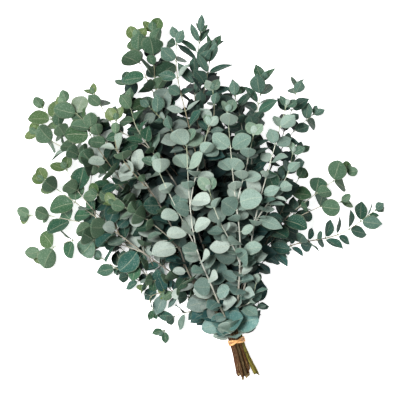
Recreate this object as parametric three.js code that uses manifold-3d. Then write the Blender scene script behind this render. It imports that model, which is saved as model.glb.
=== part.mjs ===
// Dried eucalyptus bouquet: nineteen leafy stems in a rubber band, lying on a table. Millimetres.
// The origin is on the table under the middle of the band. +Y runs along the bunch to its leafy end,
// +X to the right of it seen from above, and +Z up.

import * as THREE from 'three';
import { mergeVertices } from 'three/addons/utils/BufferGeometryUtils.js';
import Module from 'manifold-3d';

const wasm = await Module();
wasm.setup();

// The tie
const CLEARANCE = 0.3;            // between a stem and the band
const STEM_RADIUS = 2.0;          // of a stem inside the band
const STEM_PITCH = 4.3;           // between the middles of two stems side by side in the band
const ROW_RISE = STEM_PITCH * Math.sqrt(3) / 2;
const ROWS_BELOW = 2;             // the bundle has five rows, of 3, 4, 5, 4 and 3 stems
const BAND_THICKNESS = 1.5;
const STRAND_WIDTH = 2.6;
const STRAND_GROOVE = 0.5;        // the depth of the groove between two turns of the band
const STRANDS = 3;
const BAND_HALF = STRAND_WIDTH * STRANDS / 2;
const STRAND_EDGE = 0.25;         // the slope between a strand's flat and the groove
const STRAIGHT_PAST_BAND = 3;     // how far past the band's edges the stems stay straight
const CROSSING_LENGTH = 10.3;     // of the band's last stretch, which crosses the turns on top
const CROSSING_RISE = 0.45;       // of its middle over the turns
const BUNDLE_MIDDLE = BAND_THICKNESS + CLEARANCE + STEM_RADIUS + ROWS_BELOW * ROW_RISE;

// The stems
const CUT_END = -54;              // how far the cut ends stand out below the band
const CUT_END_SPREAD = 1.5;       // how much wider than in the band the bundle is at its cut ends
const FOOT_RADIUS = 2.1;
const TIP_RADIUS = 0.6;
const SHOOT_RADIUS = 1.2;
const SHOOT_TIP_RADIUS = 0.5;
const STEM_STEP = 40;             // the length between two rings of a stem's tube
const STEM_SIDES = 5;
const SHOOT_SIDES = 3;

// The leaves
const RIB = 1.2;                  // a blade's thickness at its midrib, thinning to its edge
const STALK_LENGTH = 2.5;
const STALK_HALF = 0.5;           // half a stalk's width
const ROOT_SUNK = 0.6;            // the share of the stem's radius that a stalk is sunk in it
const KEEL = 0.36;                // the share of a blade's length where its rib is thickest
const THIN_BELOW = 20;            // shorter blades than this are thinner in proportion
const LEAN = 68;                  // of the first pair of leaves from the stem, in degrees
const LEAN_LESS = 14;             // how much less the last pair leans than the first
const TIP_LEAN = 32;              // of the pair at the very tip
const TIP_SIZE = 0.62;            // of the pair at the very tip, as a share
const TIP_BARE = 8;               // between the last pair and the one at the tip, at least
const INNER_STEP = 1.9;           // between two pairs of leaves, as a share of the leaf's mean size
const OUTER_STEP = 1.05;
const OUTER_FROM = 0.7;           // the share of a stem where its leaves start to show at the outline
const SMALL_BLADE = 28;           // shorter blades have fewer points
const LEAF_GAP = 0.4;             // between a leaf and what it passes
const SHOOT_BARE = 10;            // the length at a shoot's root that has no leaves
const PRESSED = 7;                // how far the table may push a leaf's edge up
const UPRIGHT = 0.4;              // a blade whose face is steeper than this isn't pushed at all

// Each kind of leaf: its width as a share of its length, and the widths near its base, at its middle and
// near its tip as shares of that
const COIN = { width: 0.92, near: 0.8, mid: 1, far: 0.74 };
const OVAL = { width: 0.7, near: 0.84, mid: 1, far: 0.56 };
const LANCE = { width: 0.42, near: 0.82, mid: 1, far: 0.5 };

// Each stem: its column and row in the band, the points that it passes above the band, the length above it
// that is bare, its leaves' kind and size, and its side shoots, each with the share of the stem where it
// leaves and the points that it passes. Leaves stand further apart on a stem that is sparse. The first to
// come are the first whose leaves find room.
const STEMS = [
  // On top of the bunch
  { cell: [-1, 2], via: [[-10, 80, 50], [-15, 145, 86], [-5, 210, 104], [15, 290, 108]],
    bare: 22, leaf: COIN, size: 33,
    shoots: [{ at: 0.45, via: [[-30, 235, 114], [-35, 270, 106]] },
             { at: 0.7, via: [[35, 275, 114], [50, 300, 104]] }] },
  { cell: [0, 2], via: [[20, 60, 44], [45, 135, 88], [60, 215, 108], [80, 310, 106]],
    bare: 16, leaf: COIN, size: 32,
    shoots: [{ at: 0.35, via: [[25, 180, 114], [25, 215, 118]] },
             { at: 0.6, via: [[85, 235, 112], [105, 270, 106]] }] },
  { cell: [1, 2], via: [[40, 85, 52], [75, 160, 82], [115, 225, 96], [160, 295, 90]],
    bare: 22, leaf: OVAL, size: 30,
    shoots: [{ at: 0.12, via: [[35, 50, 46], [50, 72, 50]] },
             { at: 0.5, via: [[130, 200, 92], [150, 230, 86]] }] },

  // The outer sprays, from the left round to the right
  { cell: [-1.5, -1], via: [[-40, 90, 16], [-90, 160, 24], [-145, 235, 30], [-192, 296, 24]],
    bare: 50, leaf: COIN, size: 33,
    shoots: [{ at: 0.5, via: [[-165, 202, 24], [-228, 202, 14]] },
             { at: 0.62, via: [[-205, 250, 24], [-228, 256, 16]] },
             { at: 0.66, via: [[-150, 265, 38], [-158, 302, 34]] }] },
  { cell: [-2, 0], via: [[-30, 95, 26], [-65, 205, 46], [-105, 280, 56], [-140, 335, 48], [-165, 395, 34]],
    bare: 60, leaf: COIN, size: 34,
    shoots: [{ at: 0.5, via: [[-105, 315, 68], [-115, 360, 60]] },
             { at: 0.35, via: [[-95, 230, 56], [-125, 255, 52]] },
             { at: 0.72, via: [[-160, 340, 46], [-182, 362, 34]] }] },
  { cell: [-1.5, 1], via: [[-35, 105, 40], [-40, 185, 68], [-65, 275, 84], [-100, 335, 78], [-130, 390, 60]],
    bare: 40, leaf: COIN, size: 32,
    shoots: [{ at: 0.35, via: [[-75, 210, 78], [-105, 235, 74]] },
             { at: 0.55, via: [[-80, 305, 92], [-70, 345, 86]] }] },
  { cell: [-0.5, 1], via: [[-5, 110, 38], [-10, 205, 72], [-35, 290, 86], [-75, 340, 80], [-88, 390, 64]],
    bare: 60, leaf: OVAL, size: 32,
    shoots: [{ at: 0.6, via: [[-45, 325, 94], [-45, 365, 84]] }] },
  { cell: [-1, 0], via: [[-5, 130, 26], [-5, 255, 54], [-5, 365, 62], [14, 450, 48]],
    bare: 90, leaf: COIN, size: 32,
    shoots: [{ at: 0.75, via: [[-15, 415, 64], [-10, 445, 60]] },
             { at: 0.5, via: [[-35, 305, 66], [-45, 350, 60]] }] },
  { cell: [0.5, 1], via: [[15, 115, 38], [20, 220, 76], [25, 320, 92], [30, 385, 84], [43, 430, 70]],
    bare: 70, leaf: OVAL, size: 30,
    shoots: [{ at: 0.55, via: [[0, 310, 92], [-20, 350, 82]] },
             { at: 0.6, via: [[60, 310, 96], [70, 345, 88]] }] },
  { cell: [0, 0], via: [[10, 140, 26], [30, 250, 56], [45, 350, 66], [78, 430, 52]],
    bare: 90, leaf: LANCE, size: 36,
    shoots: [{ at: 0.7, via: [[70, 370, 72], [84, 400, 66]] },
             { at: 0.45, via: [[60, 265, 66], [75, 305, 62]] }] },
  { cell: [1.5, 1], via: [[45, 105, 38], [80, 200, 72], [110, 280, 82], [141, 338, 74]],
    bare: 50, leaf: OVAL, size: 31,
    shoots: [{ at: 0.6, via: [[95, 295, 82], [98, 330, 72]] },
             { at: 0.3, via: [[100, 170, 72], [125, 200, 70]] }] },
  { cell: [1, 0], via: [[50, 120, 26], [100, 200, 50], [155, 255, 54], [196, 275, 42]],
    bare: 70, leaf: OVAL, size: 30,
    shoots: [{ at: 0.65, via: [[165, 285, 58], [184, 316, 48]] }] },
  { cell: [2, 0], via: [[55, 95, 24], [105, 140, 40], [160, 165, 46], [216, 184, 38]],
    bare: 60, leaf: COIN, size: 32,
    shoots: [{ at: 0.55, via: [[165, 148, 40], [198, 146, 30]] },
             { at: 0.3, via: [[120, 165, 48], [150, 195, 46]] }] },
  { cell: [1.5, -1], via: [[45, 90, 15], [110, 107, 20], [185, 103, 22], [242, 120, 18]],
    bare: 60, leaf: OVAL, size: 24,
    shoots: [{ at: 0.3, via: [[113, 138, 30], [140, 155, 28]] }] },

  // Underneath, on or close to the table
  { cell: [-1, -2], via: [[-30, 65, 8], [-80, 100, 11], [-125, 140, 13], [-148, 168, 11]],
    bare: 40, leaf: OVAL, size: 28,
    shoots: [{ at: 0.2, via: [[-70, 60, 10], [-94, 44, 8]] },
             { at: 0.5, via: [[-98, 96, 11], [-100, 78, 8]] },
             { at: 0.55, via: [[-123, 181, 13], [-152, 196, 11]] }] },
  { cell: [-0.5, -1], via: [[-10, 140, 16], [-25, 255, 32], [-35, 335, 38], [-42, 392, 26]],
    bare: 90, leaf: COIN, size: 31, sparse: 1.5,
    shoots: [{ at: 0.6, via: [[-65, 300, 38], [-88, 335, 32]] }] },
  { cell: [0.5, -1], via: [[25, 130, 16], [50, 225, 32], [75, 290, 38], [102, 335, 28]],
    bare: 90, leaf: OVAL, size: 31, sparse: 1.5, shoots: [] },
  { cell: [1, -2], via: [[55, 100, 8], [105, 177, 11], [163, 230, 10]],
    bare: 50, leaf: OVAL, size: 29, sparse: 1.5,
    shoots: [{ at: 0.25, via: [[89, 109, 10], [117, 118, 9]] },
             { at: 0.1, via: [[37, 34, 9], [53, 53, 9]] }] },
  { cell: [0, -2], via: [[-5, 155, 8], [0, 270, 11], [10, 355, 11], [5, 420, 9]],
    bare: 90, leaf: COIN, size: 30, sparse: 1.5,
    shoots: [{ at: 0.5, via: [[58, 294, 13], [79, 330, 11]] }] },
];

// Where a leaf has no room as it grew, it gives way: how far it turns round the stem and folds up towards
// it, in degrees, and how much smaller it is
const GIVING_WAY = [
  [0, 0, 1], [18, 0, 1], [-18, 0, 1], [0, -15, 0.95], [38, -8, 0.92], [-38, -8, 0.92], [58, 0, 0.9],
  [-58, 0, 0.9], [85, -10, 0.85], [-85, -10, 0.85], [0, -28, 0.75], [35, -25, 0.7], [-35, -25, 0.7],
];

const UP = new THREE.Vector3(0, 0, 1);
const ALONG = new THREE.Vector3(0, 1, 0);

// Seeded draws, each from 0 to 1
function draws(seed) {
  let state = seed * 7919 + 12345;
  const draw = () => {
    state = (state * 16807) % 2147483647;
    return state / 2147483647;
  };
  for (let skipped = 0; skipped < 4; skipped++) draw();
  return draw;
}

// A smooth curve through points, with the directions that are given at some of them
class StemCurve extends THREE.Curve {
  constructor(points, directions) {
    super();
    this.points = points;
    this.directions = points.map((point, i) => {
      const before = points[Math.max(i - 1, 0)];
      const after = points[Math.min(i + 1, points.length - 1)];
      return directions[i] ?? after.clone().sub(before).normalize();
    });
  }

  getPoint(t, target = new THREE.Vector3()) {
    const spans = this.points.length - 1;
    const i = Math.min(Math.floor(t * spans), spans - 1);
    const s = t * spans - i;
    const [start, end] = [this.points[i], this.points[i + 1]];
    const reach = start.distanceTo(end);
    return target.set(0, 0, 0)
      .addScaledVector(start, 2 * s ** 3 - 3 * s ** 2 + 1)
      .addScaledVector(this.directions[i], reach * (s ** 3 - 2 * s ** 2 + s))
      .addScaledVector(end, 3 * s ** 2 - 2 * s ** 3)
      .addScaledVector(this.directions[i + 1], reach * (s ** 3 - s ** 2));
  }
}

// The axis of a stem or shoot: its curve, where along it the rings of its tube are, its radii, and the
// length of it that has no leaves. The rings are at the straight stretch's ends and then evenly spaced.
function makeAxis(curve, straight, startRadius, endRadius, bare) {
  const length = curve.getLength();
  const from = straight.length ? straight.at(-1) / length : 0;
  const steps = Math.ceil(length * (1 - from) / STEM_STEP);
  const stops = straight.map((distance) => distance / length);
  for (let step = straight.length ? 1 : 0; step <= steps; step++) {
    stops.push(from + (1 - from) * step / steps);
  }
  const rings = stops.map((stop) => curve.getPointAt(stop));
  return { curve, length, stops, rings, startRadius, endRadius, bare };
}

function stemAxis(stem) {
  const [column, row] = stem.cell;
  const x = column * STEM_PITCH;
  const z = BUNDLE_MIDDLE + row * ROW_RISE;
  const foot = new THREE.Vector3(x * CUT_END_SPREAD, CUT_END,
    FOOT_RADIUS + (row + ROWS_BELOW) * ROW_RISE * CUT_END_SPREAD);
  const enter = new THREE.Vector3(x, -BAND_HALF - STRAIGHT_PAST_BAND, z);
  const leave = new THREE.Vector3(x, BAND_HALF + STRAIGHT_PAST_BAND, z);
  const via = stem.via.map((point) => new THREE.Vector3(...point));
  const curve = new StemCurve([foot, enter, leave, ...via], [undefined, ALONG, ALONG]);
  const below = foot.distanceTo(enter);
  const tie = below + enter.distanceTo(leave);
  return makeAxis(curve, [0, below, tie], FOOT_RADIUS, TIP_RADIUS, tie + stem.bare);
}

function shootAxis(main, stem, shoot) {
  const tie = main.bare - stem.bare;
  const share = (tie + (main.length - tie) * shoot.at) / main.length;
  const root = frameAt(main, share).at;
  const via = shoot.via.map((point) => new THREE.Vector3(...point));
  const away = via[0].clone().sub(root).normalize().add(main.curve.getTangentAt(share)).normalize();
  const curve = new StemCurve([root, ...via], [away]);
  return makeAxis(curve, [], SHOOT_RADIUS, SHOOT_TIP_RADIUS, SHOOT_BARE);
}

// A place on an axis, on the straight line between two rings of its tube, with the directions along it,
// sideways, and up as far as the axis lets it
function frameAt(axis, share) {
  const { stops, rings } = axis;
  const next = Math.max(1, stops.findIndex((stop) => stop >= share));
  const at = rings[next - 1].clone()
    .lerp(rings[next], (share - stops[next - 1]) / (stops[next] - stops[next - 1]));
  const along = axis.curve.getTangentAt(share);
  const up = UP.clone().addScaledVector(along, -along.z).normalize();
  return { at, along, up, side: along.clone().cross(up) };
}

// A round bar that tapers, bent along an axis with its rings at the given stops
function tubeGeometry(axis, stops, sides, grow = 0) {
  const steps = stops.length - 1;
  const bar = new THREE.CylinderGeometry(1, 1, 1, sides, steps);
  const vertex = new THREE.Vector3();
  const { position } = bar.attributes;
  for (let i = 0; i < position.count; i++) {
    vertex.fromBufferAttribute(position, i);
    const share = stops[Math.round((vertex.y + 0.5) * steps)];
    const radius = THREE.MathUtils.lerp(axis.startRadius, axis.endRadius, share) + grow;
    const frame = frameAt(axis, share);
    frame.at.addScaledVector(frame.up, vertex.x * radius).addScaledVector(frame.side, -vertex.z * radius);
    position.setXYZ(i, frame.at.x, frame.at.y, frame.at.z);
  }
  return bar;
}

// Every pair of leaves along an axis, from its bare stretch to its tip
function leafPairs(axis, stem, draw) {
  const pairs = [];
  const last = axis.length - TIP_BARE;
  let distance = axis.bare;
  let turn = draw() * 60 - 30;
  while (distance < last) {
    const share = (distance - axis.bare) / (axis.length - axis.bare);
    const step = share < OUTER_FROM ? INNER_STEP : OUTER_STEP;
    const size = stem.size * (1.08 - 0.16 * share);
    pairs.push({ distance, turn, lean: LEAN - LEAN_LESS * share, size });
    distance += step * (stem.sparse ?? 1) * size * (0.4 + 0.6 * stem.leaf.width);
    turn += 90 + draw() * 50 - 25;
  }
  pairs.push({ distance: axis.length - 1, turn, lean: TIP_LEAN, size: stem.size * TIP_SIZE });
  return pairs;
}

// The leaves of a pair, opposite each other, with what is drawn for each
function pairLeaves(pair, draw) {
  return [0, 180].map((opposite) => ({
    distance: pair.distance,
    turn: pair.turn + opposite + draw() * 16 - 8,
    lean: pair.lean + draw() * 24 - 12,
    size: pair.size * (0.85 + 0.3 * draw()),
    twist: 0.4 + 0.6 * draw(),
    fold: 0.08 + 0.2 * draw(),
  }));
}

// A leaf's place: its root in the stem, the way it points, and its face, which its stalk turns part of the
// way to the light above
function placeLeaf(axis, leaf, [turnMore, leanMore, smaller]) {
  const frame = frameAt(axis, Math.min(leaf.distance / axis.length, 1));
  const turn = THREE.MathUtils.degToRad(leaf.turn + turnMore);
  const lean = THREE.MathUtils.degToRad(leaf.lean + leanMore);
  const out = frame.side.clone().multiplyScalar(Math.cos(turn)).addScaledVector(frame.up, Math.sin(turn));
  const point = frame.along.clone().multiplyScalar(Math.cos(lean)).addScaledVector(out, Math.sin(lean));
  const face = frame.along.clone().multiplyScalar(Math.sin(lean)).addScaledVector(out, -Math.cos(lean));
  const light = UP.clone().addScaledVector(point, -point.z).normalize();
  const side = face.dot(light) < -0.5 ? -1 : 1;
  face.multiplyScalar(1 - leaf.twist).addScaledVector(light, side * leaf.twist).normalize();
  return {
    root: frame.at, point, face, across: face.clone().cross(point),
    radius: THREE.MathUtils.lerp(axis.startRadius, axis.endRadius, leaf.distance / axis.length),
    length: leaf.size * smaller, fold: leaf.fold,
  };
}

// A leaf: a short stalk sunk in the stem, and a blade folded a little along its midrib, thickest at the rib
// below. The table presses the edges of the lowest leaves up. Gives nothing where it would press too far.
function leafGeometry(place, kind, grow = 0) {
  const { length, radius, fold } = place;
  const half = length * kind.width / 2;
  const small = length < SMALL_BLADE;
  const edge = small ? [[0.3, 0.92], [0.72, 0.84]]
    : [[0.2, kind.near], [0.5, kind.mid], [0.8, kind.far]];
  const thickness = RIB * Math.min(1, length / THIN_BELOW) + grow;
  const start = radius + STALK_LENGTH;
  const side = [[start, STALK_HALF, grow]];
  for (const [share, width] of edge) {
    side.push([start + share * length, half * width + grow, fold * (half * width + grow)]);
  }
  const local = [[-ROOT_SUNK * radius, 0, grow], ...side, ...side.map(([x, y, z]) => [x, -y, z]),
    [start + length + grow, 0, grow], [start + KEEL * length, 0, -thickness]];

  const tip = 1 + 2 * side.length;
  const facesUp = place.face.z > 0;
  let pressed = 0;
  const vertices = local.flatMap(([x, y, z], i) => {
    const vertex = place.root.clone().addScaledVector(place.point, x)
      .addScaledVector(place.across, y).addScaledVector(place.face, z);
    const lowest = (i > tip) === facesUp ? 0 : RIB / 2;
    pressed = Math.max(pressed, lowest - vertex.z);
    vertex.z = Math.max(vertex.z, lowest);
    return vertex.toArray();
  });
  if (pressed > (Math.abs(place.face.z) < UPRIGHT ? 0 : PRESSED)) return undefined;

  const [base, left, right, rib] = [0, 1, 1 + side.length, tip + 1];
  const triangles = [base, right, left, tip, left, right];
  for (const [first, turned] of [[left, false], [right, true]]) {
    const rim = [base, ...side.map((_, i) => first + i), tip];
    const faces = [];
    for (let i = 1; i < rim.length - 2; i++) faces.push([rim[i + 1], rim[i], tip]);
    for (let i = 0; i < rim.length - 1; i++) faces.push([rib, rim[i], rim[i + 1]]);
    for (const face of faces) triangles.push(...(turned ? face.reverse() : face));
  }
  const leaf = new THREE.BufferGeometry();
  leaf.setAttribute('position', new THREE.Float32BufferAttribute(vertices, 3));
  leaf.setIndex(triangles);
  return leaf;
}

function toSolid(geometry) {
  const bare = geometry.clone();
  bare.deleteAttribute('normal');
  bare.deleteAttribute('uv');
  const merged = mergeVertices(bare, 1e-4);
  return new wasm.Manifold(new wasm.Mesh({
    numProp: 3,
    vertProperties: new Float32Array(merged.attributes.position.array),
    triVerts: new Uint32Array(merged.index.array),
  }));
}

function toGeometry(solid) {
  const mesh = solid.getMesh();
  const geometry = new THREE.BufferGeometry();
  geometry.setAttribute('position', new THREE.Float32BufferAttribute(mesh.vertProperties, 3));
  geometry.setIndex([...mesh.triVerts]);
  geometry.computeVertexNormals();
  return geometry;
}

// What a leaf has to pass clear of: a solid, the box round it, and whose it is
function obstacle(geometry, owner) {
  geometry.computeBoundingBox();
  return { solid: toSolid(geometry), box: geometry.boundingBox.clone(), owner };
}

function clear(test, owner, obstacles) {
  return obstacles.every((other) => {
    if (other.owner === owner || !test.box.intersectsBox(other.box)) return true;
    const shared = test.solid.intersect(other.solid);
    const empty = shared.isEmpty();
    shared.delete();
    return empty;
  });
}

// The band: three turns of a flat rubber strand side by side round the rounded six-sided bundle, fused, with
// the strand's last stretch crossing over them on top
function bandOutline(offset, shift) {
  const corner = STEM_RADIUS + CLEARANCE + offset;
  const points = [];
  for (let side = 0; side < 6; side++) {
    const angle = Math.PI / 3 * side;
    const x = Math.cos(angle) * ROWS_BELOW * STEM_PITCH;
    const z = BUNDLE_MIDDLE + Math.sin(angle) * ROWS_BELOW * STEM_PITCH;
    for (const turn of [-Math.PI / 6, 0, Math.PI / 6]) {
      const way = angle + turn;
      points.push(new THREE.Vector3(x + Math.cos(way) * corner, shift, z + Math.sin(way) * corner));
    }
  }
  return points;
}

function ringGeometry(profile) {
  const loops = profile.map(([offset, shift]) => bandOutline(offset, shift));
  const around = loops[0].length;
  const vertices = loops.flat().flatMap((point) => point.toArray());
  const triangles = [];
  for (let loop = 0; loop < loops.length; loop++) {
    const next = (loop + 1) % loops.length;
    for (let i = 0; i < around; i++) {
      const j = (i + 1) % around;
      const [a, b, c, d] = [loop * around + i, loop * around + j, next * around + j, next * around + i];
      triangles.push(a, c, b, a, d, c);
    }
  }
  const ring = new THREE.BufferGeometry();
  ring.setAttribute('position', new THREE.Float32BufferAttribute(vertices, 3));
  ring.setIndex(triangles);
  return ring;
}

function bandSolid() {
  const profile = [[0, BAND_HALF], [0, -BAND_HALF]];
  for (let strand = 0; strand < STRANDS; strand++) {
    const start = -BAND_HALF + strand * STRAND_WIDTH;
    const end = start + STRAND_WIDTH;
    profile.push([BAND_THICKNESS, start + STRAND_EDGE], [BAND_THICKNESS, end - STRAND_EDGE]);
    if (strand < STRANDS - 1) profile.push([BAND_THICKNESS - STRAND_GROOVE, end]);
  }
  const crossing = new THREE.BoxGeometry(CROSSING_LENGTH, STRAND_WIDTH, BAND_THICKNESS);
  crossing.rotateZ(Math.atan2(STRAND_WIDTH * (STRANDS - 1), ROWS_BELOW * STEM_PITCH));
  crossing.translate(0, 0, 2 * BUNDLE_MIDDLE + CROSSING_RISE);
  return toSolid(ringGeometry(profile)).add(toSolid(crossing));
}

// The whole bunch
const bouquet = new THREE.Group();
const band = bandSolid();
const plants = STEMS.map((stem) => {
  const main = stemAxis(stem);
  return { stem, axes: [main, ...stem.shoots.map((shoot) => shootAxis(main, stem, shoot))], parts: [] };
});

const obstacles = [obstacle(toGeometry(band), 'band')];
for (const { axes } of plants) {
  for (const axis of axes) {
    for (let stop = 1; stop < axis.stops.length; stop++) {
      const piece = tubeGeometry(axis, axis.stops.slice(stop - 1, stop + 1), 6, LEAF_GAP);
      obstacles.push(obstacle(piece, axis));
    }
  }
}

plants.forEach(({ stem, axes, parts }, number) => {
  axes.forEach((axis, branch) => {
    parts.push(toSolid(tubeGeometry(axis, axis.stops, branch ? SHOOT_SIDES : STEM_SIDES)));
    const draw = draws(number * 10 + branch + 1);
    for (const pair of leafPairs(axis, stem, draw)) {
      const made = [];
      for (const leaf of pairLeaves(pair, draw)) {
        for (const way of GIVING_WAY) {
          const place = placeLeaf(axis, leaf, way);
          const blade = leafGeometry(place, stem.leaf);
          const grown = leafGeometry(place, stem.leaf, LEAF_GAP);
          if (!blade || !grown || !clear(obstacle(grown), axis, obstacles)) continue;
          made.push(obstacle(blade));
          parts.push(made.at(-1).solid);
          break;
        }
      }
      obstacles.push(...made);
    }
  });
});

// The leaves' colours, with the stems that have each: silver on top, green to the left and at the right tip,
// blue-green to the right, and dark underneath
const LEAF_COLOURS = [
  { color: 0xadc0b3, stems: [1, 2, 3] },
  { color: 0x618161, stems: [4, 5, 6, 7, 8, 13] },
  { color: 0x59766c, stems: [9, 10, 11, 12, 14, 15] },
  { color: 0x3c554b, stems: [16, 17, 18, 19] },
];
const LEAF_ROUGHNESS = 0.75;
const BAND_COLOUR = 0xd9a066;
const BAND_ROUGHNESS = 0.6;

function addNode(name, solid, color, roughness) {
  const mesh = new THREE.Mesh(toGeometry(solid), new THREE.MeshStandardMaterial({ color, roughness, metalness: 0 }));
  mesh.name = name;
  bouquet.add(mesh);
}

plants.forEach(({ parts }, index) => {
  const number = index + 1;
  const { color } = LEAF_COLOURS.find(({ stems }) => stems.includes(number));
  addNode(`stem_${String(number).padStart(2, '0')}`, wasm.Manifold.union(parts), color, LEAF_ROUGHNESS);
});
addNode('tie_band', band, BAND_COLOUR, BAND_ROUGHNESS);

export default bouquet;
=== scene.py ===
# Dried eucalyptus bouquet: nineteen leafy stems held by a rubber band, lying on a pale table.
# Everything is in metres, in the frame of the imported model: +Y runs along the bunch to its tips.
import math
import random
from collections import namedtuple

import bpy
import numpy as np
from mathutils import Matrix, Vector
from mathutils.bvhtree import BVHTree
from mathutils.kdtree import KDTree


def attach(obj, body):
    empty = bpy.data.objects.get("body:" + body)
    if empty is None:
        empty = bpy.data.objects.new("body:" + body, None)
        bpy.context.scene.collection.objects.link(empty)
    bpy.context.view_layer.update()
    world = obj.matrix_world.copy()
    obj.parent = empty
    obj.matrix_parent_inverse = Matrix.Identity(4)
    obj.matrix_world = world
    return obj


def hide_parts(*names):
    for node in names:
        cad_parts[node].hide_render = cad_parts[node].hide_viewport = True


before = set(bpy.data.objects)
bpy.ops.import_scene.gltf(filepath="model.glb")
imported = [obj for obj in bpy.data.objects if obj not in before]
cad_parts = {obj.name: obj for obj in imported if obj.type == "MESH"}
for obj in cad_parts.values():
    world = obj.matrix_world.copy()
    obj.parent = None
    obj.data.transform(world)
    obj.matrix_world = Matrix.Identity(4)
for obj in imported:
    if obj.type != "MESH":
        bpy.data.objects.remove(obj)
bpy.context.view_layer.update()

# The view, straight down on the lying bunch. The tie is at the lower right and the tips fan out to the
# upper left, so the picture is turned a little against the bunch. Its scale holds at SCALE_HEIGHT.
PIXEL = 0.0014
PICTURE = 400
TIE_PIXEL = (237, 343)
PICTURE_TURN = math.radians(17)
CAMERA_HEIGHT = 3.0
SCALE_HEIGHT = 0.05
SENSOR = 36.0

across_picture = Vector((math.cos(PICTURE_TURN), -math.sin(PICTURE_TURN), 0))
up_picture = Vector((math.sin(PICTURE_TURN), math.cos(PICTURE_TURN), 0))
middle = (across_picture * (PICTURE / 2 - TIE_PIXEL[0]) + up_picture * (TIE_PIXEL[1] - PICTURE / 2)) * PIXEL

camera = bpy.data.objects.new("camera", bpy.data.cameras.new("camera"))
camera.data.sensor_width = SENSOR
camera.data.lens = SENSOR * (CAMERA_HEIGHT - SCALE_HEIGHT) / (PICTURE * PIXEL)
camera.location = middle + Vector((0, 0, CAMERA_HEIGHT))
camera.rotation_euler = (0, 0, -PICTURE_TURN)
bpy.context.scene.collection.objects.link(camera)
bpy.context.scene.camera = camera
bpy.context.scene.view_settings.view_transform = "Standard"


# The light: a big soft box up to the left of the picture, a weaker one low on the right, and a room that
# is dim above and white round the horizon, so that the table has a plain pale background from any side.
KEY_POWER = 188.0
FILL_POWER = 7.0
ROOM_LIGHT = 0.06
HORIZON_LIGHT = 0.9
HORIZON_EDGE = (0.06, 0.14)


def light_of(colour):
    """A colour as a shader takes it. Three numbers from 0 to 255 are a colour as the eye reads it off a
    picture, and four are light already."""
    if isinstance(colour, Wire) or len(colour) == 4:
        return colour
    return (*(((part / 255 + 0.055) / 1.055) ** 2.4 if part > 10 else part / 255 / 12.92
              for part in colour), 1)


class Wire:
    """An output of one of a material's nodes. Sums with it add the Math nodes that work them out."""

    def __init__(self, tree, socket=None):
        self.tree = tree
        self.socket = socket

    def node(self, kind, inputs, output=0, **settings):
        made = self.tree.nodes.new("ShaderNode" + kind)
        for name, value in settings.items():
            setattr(made, name, value)
        for name, value in inputs.items():
            if isinstance(value, Wire):
                self.tree.links.new(value.socket, made.inputs[name])
            else:
                made.inputs[name].default_value = value
        return Wire(self.tree, made.outputs[output])

    def value(self, name):
        """The number that each vertex has under that name."""
        return self.node("Attribute", {}, output="Fac", attribute_name=name)

    def spot(self):
        """The place in the piece."""
        return self.node("TexCoord", {}, output="Object")

    def noise(self, spot, scale, detail):
        return self.node("TexNoise", {"Vector": spot, "Scale": scale, "Detail": detail}, output="Fac")

    def skin_place(self):
        """The place across and along the skin, as two wires."""
        parts = self.node("SeparateXYZ", {"Vector": self.node("UVMap", {}, uv_map="skin")}).socket.node
        return Wire(self.tree, parts.outputs["X"]), Wire(self.tree, parts.outputs["Y"])

    def math(self, operation, first, second=0.0, clamp=False):
        return self.node("Math", {0: first, 1: second}, operation=operation, use_clamp=clamp)

    def __add__(self, other):
        return self.math("ADD", self, other)

    def __sub__(self, other):
        return self.math("SUBTRACT", self, other)

    def __rsub__(self, other):
        return self.math("SUBTRACT", other, self)

    def __mul__(self, other):
        return self.math("MULTIPLY", self, other)

    def __pow__(self, other):
        return self.math("POWER", self, other)

    def __abs__(self):
        return self.math("ABSOLUTE", self)

    def held(self):
        """This, kept between 0 and 1."""
        return self.math("ADD", self, 0.0, clamp=True)

    def rise(self, start, end):
        """0 where this is below start, 1 where it is past end."""
        return ((self - start) * (1 / (end - start))).held()

    def mix(self, first, second):
        """The colour first where this is 0 and second where it is 1."""
        return self.node("Mix", {0: self, 6: light_of(first), 7: light_of(second)}, output=2,
                         data_type="RGBA")

    def ramp(self, *stops):
        """The colours of the stops, each where this has the stop's number."""
        made = self.node("ValToRGB", {"Fac": self})
        elements = made.socket.node.color_ramp.elements
        while len(elements) < len(stops):
            elements.new(0.5)
        for element, (place, colour) in zip(elements, stops):
            element.position = place
            element.color = light_of(colour)
        return made


def soft_box(name, place, size, power):
    light = bpy.data.lights.new(name, "AREA")
    light.shape = "SQUARE"
    light.size = size
    light.energy = power
    lamp = bpy.data.objects.new(name, light)
    lamp.location = middle + Vector(place)
    lamp.rotation_euler = Vector(place).to_track_quat("Z", "Y").to_euler()
    bpy.context.scene.collection.objects.link(lamp)


soft_box("key_light", (-1.1, 0.75, 3.2), 1.2, KEY_POWER)
soft_box("fill_light", (1.5, -0.6, 1.2), 1.5, FILL_POWER)
room = bpy.data.worlds.new("room")
room.use_nodes = True
wire = Wire(room.node_tree)
looking = wire.node("SeparateXYZ", {"Vector": wire.node("TexCoord", {}, output="Generated")}, output="Z")
sky = looking.rise(*HORIZON_EDGE).mix((HORIZON_LIGHT,) * 3 + (1,), (ROOM_LIGHT,) * 3 + (1,))
room.node_tree.links.new(sky.socket, room.node_tree.nodes["Background"].inputs["Color"])
bpy.context.scene.world = room


# The table: a matt white top lit from inside, as for cut-out pictures, but not under the thick of the
# bunch and its neck. It is wide enough to fill the picture from any side.
TABLE_WIDTH = 40.0
TABLE_GLOW = 0.85
TABLE_DROP = 0.0002
THICK_MIDDLE = (-0.015, 0.212, 0.0)
THICK_EDGE = (0.085, 0.125)
NECK_MIDDLE = (-0.004, 0.062, 0.0)
NECK_EDGE = (0.02, 0.036)


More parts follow.
